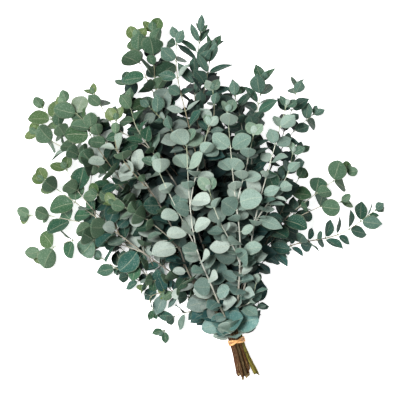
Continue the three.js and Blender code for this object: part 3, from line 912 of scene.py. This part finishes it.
# Low on the top stems: pairs down to the band, of a size by their row in it, and a collar right above it
LOW_FROM = 7 * MM
LOW_PAST_BARE = 12 * MM
LOW_STEP = 0.5
LOW_SIZE = {2: 1.4, 1: 1.05}
LOW_TWIST = (0.5, 0.5)
COLLAR_PAIRS = 6
COLLAR_REACH = (0.5 * MM, 8 * MM)
COLLAR_TURN = (15, 165)
COLLAR_LEAN = (36, 84)
COLLAR_SIZE = (0.55, 0.9)
COLLAR_TWIST = (0.3, 0.5)

for number, branch, axis, pairs, found in grown:
    stem = plants[number][0]
    if branch == 0 and stem.cell[1] > 0:
        full = stem.size * MM
        tie = tie_of(axis, stem)
        low = pairs_along(tie + LOW_FROM, axis.bare + LOW_PAST_BARE, LOW_STEP * full,
                          full * LOW_SIZE[stem.cell[1]])
        grow_leaves(low, axis, stem.leaf, LOW_TWIST, found)
        collar = [Pair(tie + drawn(COLLAR_REACH), drawn(COLLAR_TURN), drawn(COLLAR_LEAN),
                       full * drawn(COLLAR_SIZE)) for i in range(COLLAR_PAIRS)]
        grow_leaves(collar, axis, stem.leaf, COLLAR_TWIST, found)

# Then the pairs between, with low ones on the stems that aren't on top
UNDER_FROM = 22 * MM
UNDER_BEFORE_BARE = 8 * MM
UNDER_STEP = 0.6
BETWEEN_TWIST = (0.0, 0.55)

for number, branch, axis, pairs, found in grown:
    stem = plants[number][0]
    full = stem.size * MM
    more = pairs_between(pairs, axis, stem)
    if branch == 0 and stem.cell[1] <= 0:
        more += pairs_along(tie_of(axis, stem) + UNDER_FROM, axis.bare - UNDER_BEFORE_BARE,
                            UNDER_STEP * full, full)
    grow_leaves(more, axis, stem.leaf, BETWEEN_TWIST, found)


# The undergrowth: thin twigs low in the bunch, with leaves that lie flat, darkened by painted shade, which
# the imported model does without. They grow by turns to the left and the right of some of the lower stems,
# counted from 0.
TWIG_STEMS = (3, 14, 15, 16, 17, 18)
TWIG_FROM = 14 * MM
TWIG_END = 50 * MM
TWIG_STEP = 19 * MM
TWIG_STEP_VARIES = (0.8, 1.2)
TWIG_LENGTH = (62 * MM, 92 * MM)
TWIG_TURN = (34, 62)
TWIG_HEIGHT = (6 * MM, 20 * MM)
TWIG_RADIUS = 0.9 * MM
TWIG_LEAF = 26 * MM
TWIG_LEAF_STEP = 0.7
TWIG_TWIST = (0.8, 0.2)
TWIG_CUT_BACK = 0.6
TWIG_ARCH = 3 * MM

for number in TWIG_STEMS:
    stem, axes = plants[number]
    main = axes[0]
    distance = tie_of(main, stem) + TWIG_FROM
    hand = 1
    while distance < main.length - TWIG_END:
        root = main.curve.at(distance / main.length)
        heading = main.curve.heading(distance / main.length)
        turn = math.radians(drawn(TWIG_TURN)) * hand
        away = np.array([heading[0] * math.cos(turn) - heading[1] * math.sin(turn),
                         heading[0] * math.sin(turn) + heading[1] * math.cos(turn), 0])
        reach = drawn(TWIG_LENGTH)
        height = drawn(TWIG_HEIGHT)
        distance += TWIG_STEP * drawn(TWIG_STEP_VARIES)
        hand = -hand
        end = root + away * reach
        if not in_the_thick(end):
            reach *= TWIG_CUT_BACK
            end = root + away * reach
        if not in_the_thick(end):
            continue
        end[2] = height
        # It sets out between its stem's heading and its own, and arches over to its end
        centre = root + (away * 0.6 + heading * 0.15) * reach / 1.4
        centre[2] = (root[2] + end[2]) / 2 + TWIG_ARCH
        twig = Axis(StemCurve([root, centre, end], {0: unit(away + heading)}), [], TWIG_RADIUS,
                    SHOOT_TIP_RADIUS, SHOOT_BARE)
        found = []
        pairs = pairs_along(SHOOT_BARE, twig.length, TWIG_LEAF_STEP * TWIG_LEAF, TWIG_LEAF)
        grow_leaves(pairs, twig, stem.leaf, TWIG_TWIST, found, inside=True)
        grown.append((number, len(grown), twig, pairs, found))


# A blade's mesh: rows from its base to its tip, closest where it is rounded, and columns from one edge to
# the other, closest at the midrib and at the edges, on its upper side and again underneath.
FINE_SIZE = 0.92
BLADE_THICKNESS = 0.45 * MM
BLADE_ROWS = 10
BLADE_COLUMNS = np.array([-1, -0.95, -0.62, -0.3, -0.055, 0, 0.055, 0.3, 0.62, 0.95, 1])
STALK_SIDES = 5
STALK_POINTS = 3 * STALK_SIDES + 2
RIB_RIDGE = 0.4 * MM
RIB_GROOVE = 0.12 * MM
RIB_HALF = 0.05
LOWEST_TOP = 0.6 * MM
LOWEST_UNDER = 0.15 * MM
LEAST_WIDTH = 0.06

# What is drawn for each blade, and between what, mostly in shares of its size. It turns on its midrib, which
# sways aside, and its halves are unlike.
BLADE_DRAWS = {"wide": (0.86, 1.02), "cup": (-0.05, 0.2), "droop": (-0.14, 0.04), "wave": (0.015, 0.06),
               "ripples": (0.8, 1.7), "phase": (0, 2 * math.pi), "turned": (-0.3, 0.3),
               "sway": (-0.12, 0.12), "lopsided": (-0.06, 0.06), "narrower": (-0.08, 0.12)}

row_angles = math.pi * np.arange(1, BLADE_ROWS) / BLADE_ROWS
ROW_SHARE = ((1 - np.cos(row_angles)) / 2)[:, None] + 0 * BLADE_COLUMNS
ROW_WIDTH = np.sin(row_angles)[:, None] + 0 * BLADE_COLUMNS
COLUMN = BLADE_COLUMNS + 0 * ROW_SHARE

# For each vertex of a leaf: its side, 0 on top and 1 underneath, and between them at the edge and on the
# stalk, and its place on the skin
SIDE = np.concatenate([np.where(np.abs(COLUMN) == 1, 0.5, 0.0).ravel(), np.ones(COLUMN[:, 1:-1].size),
                       [0.5, 0.5], np.full(STALK_POINTS, 0.6)])
SKIN = np.stack([
    np.concatenate([COLUMN.ravel(), COLUMN[:, 1:-1].ravel(), np.zeros(2 + STALK_POINTS)]) / 2 + 0.5,
    np.concatenate([ROW_SHARE.ravel(), ROW_SHARE[:, 1:-1].ravel(), [0, 1], np.zeros(STALK_POINTS)])], -1)
LEAF_POINTS = len(SIDE)


def blade_faces():
    """The faces over a blade's vertices: the upper grid, the lower grid without its edges, base and tip."""
    rows, columns = COLUMN.shape
    upper = np.arange(rows * columns).reshape(rows, columns)
    lower = upper.copy()
    lower[:, 1:-1] = rows * columns + np.arange(rows * (columns - 2)).reshape(rows, columns - 2)
    base = rows * (2 * columns - 2)
    tip = base + 1
    faces = []
    for grid, turned in ((upper, False), (lower, True)):
        for j in range(columns - 1):
            strip = [(base, grid[0, j], grid[0, j + 1]), (grid[-1, j], tip, grid[-1, j + 1])]
            strip += [(before[j], after[j], after[j + 1], before[j + 1])
                      for before, after in zip(grid, grid[1:])]
            faces += [tuple(int(i) for i in (face[::-1] if turned else face)) for face in strip]
    return faces


def stalk_faces(first):
    """The faces over a stalk's vertices: three rings, and a point at each end."""
    second, third, root = (first + ring * STALK_SIDES for ring in (1, 2, 3))
    faces = between_rings(first, second, STALK_SIDES) + between_rings(second, third, STALK_SIDES)
    for i in range(STALK_SIDES):
        j = (i + 1) % STALK_SIDES
        faces += [(root, first + i, first + j), (root + 1, third + j, third + i)]
    return faces


LEAF_FACES = blade_faces() + stalk_faces(LEAF_POINTS - STALK_POINTS)


def fine_leaf(place, stem, look):
    """The vertices of one leaf."""
    wide, cup, droop, wave, ripples, phase, turned, sway, lopsided, narrower = (
        look.uniform(*limits) for limits in BLADE_DRAWS.values())
    length = place.length * stem.own.get("fine", FINE_SIZE)
    half = length * stem.leaf.width / 2 * wide
    start = place.radius + STALK_LENGTH
    # At 0.8 of its length a plain oval is 0.8 wide, and outer squared is 0.36. The blade has its kind's far
    # width there.
    narrowing = (0.8 - stem.leaf.far) / (0.8 * 0.36) + narrower
    outer = np.clip(2 * ROW_SHARE - 1, 0, 1)
    width = ROW_WIDTH * np.maximum(1 - narrowing * outer ** 2, LEAST_WIDTH)
    y = COLUMN * width * half * (1 + lopsided * np.sign(COLUMN))
    soft = 0.08 * half
    rise = place.fold * (np.sqrt(y ** 2 + soft ** 2) - soft) + cup * y ** 2 / half
    rise += droop * length * ROW_SHARE ** 2
    rise += wave * half * np.abs(COLUMN) ** 1.5 * np.sin(ripples * 2 * math.pi * ROW_SHARE + phase
                                                        + 1.9 * np.sign(COLUMN))
    at_rib = np.exp(-(COLUMN / RIB_HALF) ** 2)
    top = rise - RIB_GROOVE * at_rib * (1 - ROW_SHARE)
    under = rise - BLADE_THICKNESS * (1 - COLUMN ** 4) - RIB_RIDGE * at_rib * (1 - 0.8 * ROW_SHARE)
    y = y + sway * half * np.sin(math.pi * ROW_SHARE)
    x = start + length * ROW_SHARE
    twist = turned * (ROW_SHARE - 0.15)

    def spun(height):
        return np.stack([x, y * np.cos(twist) - height * np.sin(twist),
                         y * np.sin(twist) + height * np.cos(twist)], -1)

    upper, lower = spun(top), spun(under)[:, 1:-1]
    ends = np.array([[start, 0, 0], [start + length * 1.01, 0, droop * length]])
    # The stalk is round in the stem, at the blade's base and under the blade, and ends in a point
    stalk = []
    for along, radius in ((0.2 * place.radius, 0.8 * MM), (start - 1.2 * MM, 0.55 * MM),
                          (start + 0.1 * length, 0.3 * MM)):
        for i in range(STALK_SIDES):
            way = 2 * math.pi * i / STALK_SIDES
            stalk.append((along, math.cos(way) * radius, math.sin(way) * radius - BLADE_THICKNESS / 2))
    stalk += [(0, 0, 0), (start + 0.12 * length, 0, -BLADE_THICKNESS / 2)]
    local = np.concatenate([upper.reshape(-1, 3), lower.reshape(-1, 3), ends, np.array(stalk)])

    vertices = place.spread(place.bent_root, local)
    higher = SIDE < 0.5 if place.face[2] > 0 else SIDE > 0.9
    vertices[:, 2] = np.maximum(vertices[:, 2], np.where(higher, LOWEST_TOP, LOWEST_UNDER))
    return vertices


def leaf_finish(name, pale_share, turns, inner, outer, tips, underside):
    """The leaf's skin. Each of its colours is a pair, deep and light, between which leaves differ. It goes
    from inner to outer along a stem, between the two shares of it in turns, and to tips at the end. Some
    leaves have a silver bloom. Pale veins branch from the midrib and the edge is dry. Leaves deep in the
    bunch get painted shade, darkened towards near black."""
    material, wire = finish_of(name, {"Specular IOR Level": 0.18})
    beside, along = wire.skin_place()
    across = abs(beside * 2 - 1)
    tone, reach, under, bloom, shade = map(wire.value, ("tone", "reach", "side", "bloom", "shade"))
    spot = wire.spot()
    clouds = wire.noise(spot, 130.0, 3.0)
    grain = wire.noise(spot, 640.0, 4.0)

    rib = (1 - across * 16).held()
    branch = along * 9 - across * 2.4 + clouds * 0.35
    vein = (1 - abs(branch.math("FRACT", branch) - 0.5) * 11).held() * (1 - across).held()
    deep, light = (reach.ramp((turns[0], inner[i]), (turns[1], outer[i]), (0.84, outer[i]), (1, tips[i]))
                   for i in (0, 1))
    skin = (tone * 1.25 + clouds * 0.3 - 0.22).held().mix(deep, light)
    silver = (bloom + (clouds - 0.5) * 0.7).held()
    skin = (silver * pale_share).mix(skin, (184, 196, 187))
    below = (tone * 0.8 + clouds * 0.3 - 0.05).held().mix(*underside)
    skin = (under * 1.25 - 0.1).held().mix(skin, below)
    pale = wire.node("Mix", {0: 0.5, 6: skin, 7: light_of((206, 208, 176))}, output=2, data_type="RGBA")
    skin = (rib * 0.6 + vein * 0.14).held().mix(skin, pale)
    skin = ((grain - 0.5) * 1.6).held().mix(skin, (44, 74, 66))
    skin = ((0.46 - grain) * 1.2).held().mix(skin, (206, 214, 198))
    skin = (across ** 14 * 0.4).held().mix(skin, (160, 160, 132))
    # Painted shade: leaves deep in the bunch are darkened towards near black by their shade value
    feed("Base Color", (shade * 0.93).mix(skin, (8, 25, 25)))
    feed("Roughness", clouds * 0.25 + 0.45)
    bump(rib * 0.6 + vein * 0.35 + grain * 0.3 + clouds * 0.2, 0.35, 0.4 * MM)
    return material


LEAF_FINISHES = {
    "leaf_silver": leaf_finish("silver_leaf", 0.8, (0.2, 0.5), [(46, 92, 92), (108, 150, 144)],
                               [(84, 116, 106), (166, 185, 173)], [(66, 96, 80), (120, 144, 124)],
                               [(120, 148, 136), (168, 184, 172)]),
    "leaf_green": leaf_finish("green_leaf", 0.9, (0.35, 0.75), [(30, 74, 74), (62, 110, 108)],
                              [(28, 68, 50), (54, 96, 68)], [(52, 84, 42), (96, 114, 64)],
                              [(56, 88, 66), (106, 132, 104)]),
    "leaf_teal": leaf_finish("teal_leaf", 0.6, (0.35, 0.75), [(28, 72, 76), (58, 108, 110)],
                             [(26, 64, 55), (54, 94, 80)], [(32, 68, 48), (58, 92, 66)],
                             [(54, 86, 74), (100, 128, 114)]),
    # The stems underneath: little bloom, and deep tones darker than the other leaves', which is painted
    # shade
    "leaf_dark": leaf_finish("dark_leaf", 0.2, (0.2, 0.5), [(20, 50, 52), (56, 98, 98)],
                             [(22, 54, 50), (54, 94, 84)], [(38, 70, 52), (64, 94, 70)],
                             [(54, 86, 80), (96, 122, 112)]),
}


# The young tips: past the last pair each stem and shoot ends in two smaller pairs, still folded together,
# round a bud.
YOUNG_PAIRS = [(0.36, 24), (0.2, 12)]

for number, branch, axis, pairs, found in grown:
    turn = pairs[-1].turn
    for share, lean in YOUNG_PAIRS:
        turn += 90
        young = Pair(axis.length - 0.5 * MM, turn, lean, plants[number][0].size * MM * share)
        found += [LeafPlace(axis, leaf, GIVING_WAY[0]) for leaf in pair_leaves(young, random_draws())]


# The wood: each stem's and shoot's round bark, thickened where leaves stand, brown and scarred at the cut
# end, then cream, and green where it is young. Cut ends bend a little aside.
WOOD_STEP = 5.5 * MM
WOOD_SIDES = 8
KNOT_SWELL = 0.32
KNOT_REACH = 2.6 * MM
WOOD_THINNER = 0.3
THIN_OVER = 60 * MM
FOOT_FADES = 25 * MM
FOOT_RUGGED = 0.12
RUGGED = 0.05
SPLAY_BENDS = 1.5
CUT_SLANT = 1.1
CUT_SHORTER = 12 * MM
BUD = 2.5 * MM
LOWEST = 0.1 * MM
random_wood = random.Random(4)


def wood_tube(axis, first, knots, shorter, is_shoot, thin_from, splay):
    """A tube round an axis, with its vertices counted from first: the vertices, the faces, and for each
    vertex its age, how much it is of the foot and of the cut face, and its skin place. It has knots at
    those distances, is cut shorter, thins from thin_from on, and bends aside by splay below the band."""

    def spot_at(share):
        below_band = 0.0 if is_shoot else max(0.0, 1 - share / axis.stops[1])
        return axis.curve.at(share) + splay * below_band ** SPLAY_BENDS

    start = shorter / axis.length
    steps = max(4, math.ceil(axis.length * (1 - start) / WOOD_STEP))
    slant = random_wood.uniform(0, 2 * math.pi)
    vertices, faces, marks = [], [], []
    for step in range(steps + 1):
        share = start + (1 - start) * step / steps
        spot = spot_at(share)
        along, side, up = axis.ways(share)
        distance = share * axis.length
        swell = 1 + KNOT_SWELL * np.exp(-((knots - distance) / KNOT_REACH) ** 2).max(initial=0)
        thin = 1 - WOOD_THINNER * min(max((distance - thin_from) / THIN_OVER, 0), 1)
        rugged = FOOT_RUGGED if distance < thin_from else RUGGED
        radius = axis.radius(share) * thin * swell * random_wood.uniform(1 - rugged, 1 + rugged)
        foot = 0.0 if is_shoot else 1 - min(max((distance - thin_from) / FOOT_FADES, 0), 1)
        for i in range(WOOD_SIDES):
            way = 2 * math.pi * i / WOOD_SIDES
            slide = CUT_SLANT * radius * math.cos(way - slant) if step == 0 and not is_shoot else 0.0
            vertices.append(spot + (side * math.cos(way) + up * math.sin(way)) * radius + along * slide)
            marks.append((share, foot, 0.0, i / WOOD_SIDES, distance))
    for low in range(first, first + steps * WOOD_SIDES, WOOD_SIDES):
        faces += between_rings(low, low + WOOD_SIDES, WOOD_SIDES)
    # The cut face has its own ring, so that the bark ends in a sharp edge, and the bud closes the other end
    foot = 0.0 if is_shoot else 1.0
    vertices += [*vertices[:WOOD_SIDES], spot_at(start), axis.curve.at(1.0) + along * BUD]
    marks += [(0.0, foot, 1.0, *mark[3:]) for mark in marks[:WOOD_SIDES]]
    marks += [(0.0, foot, 1.0, 0.5, 0.0), (1.0, 0.0, 0.0, 0.5, axis.length)]
    last = first + steps * WOOD_SIDES
    ring = last + WOOD_SIDES
    centre = ring + WOOD_SIDES
    for i in range(WOOD_SIDES):
        faces.append((ring + i, ring + (i + 1) % WOOD_SIDES, centre))
    for i in range(WOOD_SIDES):
        faces.append((last + i, centre + 1, last + (i + 1) % WOOD_SIDES))
    for vertex in vertices:
        vertex[2] = max(vertex[2], LOWEST)
    return vertices, faces, np.array(marks)


def bark_finish():
    """The bark, brown at the foot and tan to cream above it, with lengthwise streaks, and painted shade deep
    in the bunch.
    """
    material, wire = finish_of("bark", {"Specular IOR Level": 0.1})
    across, along = wire.skin_place()
    age, foot, hue, shade, tail, cut = map(wire.value, ("age", "foot", "hue", "shade", "tail", "cut"))
    clouds = wire.noise(wire.spot(), 160.0, 3.0)
    streaks = wire.noise(wire.node("CombineXYZ", {0: across * 22, 1: along * 160}), 1.0, 3.0)
    place = (age + clouds * 0.12 - 0.06).held()
    tan = place.ramp((0.12, (92, 72, 46)), (0.3, (120, 100, 76)), (0.5, (142, 124, 102)),
                     (0.85, (146, 136, 108)), (1.0, (126, 140, 98)))
    cream = place.ramp((0.12, (120, 106, 72)), (0.25, (190, 184, 164)), (0.5, (228, 229, 220)),
                       (0.85, (220, 223, 206)), (1.0, (172, 184, 146)))
    brown = tail.ramp((0.1, (76, 62, 38)), (0.3, (88, 46, 24)), (0.5, (72, 40, 18)),
                      (0.75, (100, 86, 30)), (0.97, (128, 122, 42)))
    bark = foot.mix(hue.mix(tan, cream), brown)
    # Painted shade: wood deep in the bunch is darkened
    bark = (shade * 0.75).mix(bark, (30, 27, 22))
    bark = (foot * ((0.46 - streaks) * 7).held() * 0.55).mix(bark, (156, 134, 94))
    dark = ((streaks - 0.5) * 3).held() + foot * ((streaks - 0.5) * 7).held() * 0.8
    bark = dark.held().mix(bark, (34, 20, 8))
    feed("Base Color", cut.mix(bark, (140, 118, 76)))
    feed("Roughness", streaks * 0.3 + 0.5)
    bump(streaks + clouds * 0.4, 0.5, 0.4 * MM)
    return material


BARK = bark_finish()


# The branches put together: for each stem one piece of wood and one of leaves, both in the place of its
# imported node. The leaves have the finish of their part of the bunch.
SHOOT_AGE = 0.55
SHOOT_REACH = 0.5
PALE_WOOD = (0.85, 1.0)
BROWN_WOOD = (0.0, 0.5)
KNOT_DIGITS = 4
FOOT_BENDS = (1.2, 0.8)
random_foot = random.Random(9)
random_look = random.Random(23)

# The hue of the cut ends: brown to the left, redder in the middle and olive at the right
TAIL_MIDDLE = 0.3
TAIL_RIGHT = 0.3
TAIL_VARIES = 0.2

# Painted shade: how deep in the bunch each leaf lies, and how much darker leaves of a deep tone are painted
# there than pale ones
NEARBY = 24 * MM
HIGHEST = 3
AROUND = (7.2 * MM, 36 * MM)
OPEN_LIGHT = 0.3
DEEP = (4 * MM, 35 * MM)
DARK_SHADED = 1.25
PALE_SHADED_LESS = 0.75

# Silver bloom: the tone from which leaves have it, and the share of the stem from which on it fades
BLOOM = (0.6, 0.72)
BLOOM_STEEP = 4
YOUNG_STEEP = 5
NO_BLOOM = 0.4

centres = np.array([place.middle() for entry in grown for place in entry[4]])


def shade_at(spot):
    """How much painted shade a spot gets, from 0 to 1, by how far the highest leaves nearby rise above it.
    """
    offsets = centres[:, :2] - spot[:2]
    away = np.hypot(*offsets.T)
    near = away < NEARBY
    if near.sum() < HIGHEST:
        return 0.0
    above = np.sort(centres[near, 2])[-HIGHEST:].mean() - spot[2]
    # Light comes in from each eighth of the round where no leaf stands close by
    around = offsets[(away > AROUND[0]) & (away < AROUND[1])]
    open_sides = 8 - len(set(np.floor(np.arctan2(around[:, 1], around[:, 0]) / (math.pi / 4))))
    deep = np.clip((above - DEEP[0]) / (DEEP[1] - DEEP[0]), 0, 1)
    return float(deep * max(0.0, 1 - OPEN_LIGHT * open_sides))


for number, (stem, axes) in enumerate(plants):
    label = f"{number + 1:02d}"
    own = [(branch, axis, found) for whose, branch, axis, pairs, found in grown if whose == number]

    vertices, faces, looks = [], [], []
    tail = TAIL_MIDDLE + TAIL_RIGHT * max(stem.cell[0], 0) + random_wood.uniform(-TAIL_VARIES, TAIL_VARIES)
    bend_x, bend_z = (random_foot.uniform(-most, most) for most in FOOT_BENDS)
    splay = np.array([stem.own.get("splay", 0.0) + bend_x, 0, bend_z]) * MM
    for branch, axis, found in own:
        knots = np.array(sorted({round(place.reach * axis.length, KNOT_DIGITS) for place in found}))
        shorter = 0.0 if branch else random_wood.uniform(0, CUT_SHORTER) * stem.own.get("cut_shorter", 1)
        hue = random_wood.uniform(*(PALE_WOOD if stem.own.get("pale") else BROWN_WOOD))
        thin_from = -THIN_OVER if branch else tie_of(axis, stem)
        tube, tube_faces, marks = wood_tube(axis, len(vertices), knots, shorter, branch > 0, thin_from,
                                            splay)
        if branch:
            marks[:, 0] = SHOOT_AGE + (1 - SHOOT_AGE) * marks[:, 0]
        vertices += tube
        faces += tube_faces
        looks.append(np.insert(marks, 0, hue, axis=1))
    # Painted shade on the wood, taken at every other vertex, as for the leaves
    shades = np.repeat([shade_at(vertex) for vertex in vertices[::2]], 2)[:len(vertices)]
    looks = np.concatenate(looks)
    values = dict(zip(("hue", "age", "foot", "cut"), looks.T))
    wood = build_piece(f"wood_{label}", vertices, faces, BARK,
                       {**values, "shade": shades, "tail": [tail] * len(vertices)}, looks[:, 4:])
    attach(wood, "root")
    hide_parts(f"stem_{label}")

    blades, looks, faces = [], [], []
    bloom_from, bloom_to = stem.own.get("bloom", BLOOM)
    for branch, axis, found in own:
        for place in found:
            first = LEAF_POINTS * len(blades)
            faces += [tuple(first + i for i in face) for face in LEAF_FACES]
            blades.append(fine_leaf(place, stem, random_look))
            reach = SHOOT_REACH + (1 - SHOOT_REACH) * place.reach if branch else place.reach
            tone = random_look.uniform(*stem.own.get("tone", (0.0, 1.0)))
            # Painted shade, by how deep the leaf lies: more for leaves of a deep tone, less on stems with a
            # lower shade
            shade = min(1.0, shade_at(place.middle()) * (DARK_SHADED - PALE_SHADED_LESS * tone))
            young = np.clip((reach - bloom_to) * YOUNG_STEEP, 0, 1)
            bloom = np.clip((tone - bloom_from) * BLOOM_STEEP, -NO_BLOOM, 1)
            looks.append((tone, reach, shade * stem.own.get("shade", 1),
                          bloom * (1 - young) - NO_BLOOM * young))
    values = dict(zip(("tone", "reach", "shade", "bloom"), np.repeat(looks, LEAF_POINTS, axis=0).T))
    leaves = build_piece(f"leaves_{label}", np.concatenate(blades), faces, LEAF_FINISHES[stem.slot],
                         {"side": np.tile(SIDE, len(blades)), **values}, np.tile(SKIN, (len(blades), 1)))
    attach(leaves, "root")
    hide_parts(f"stem_{label}")
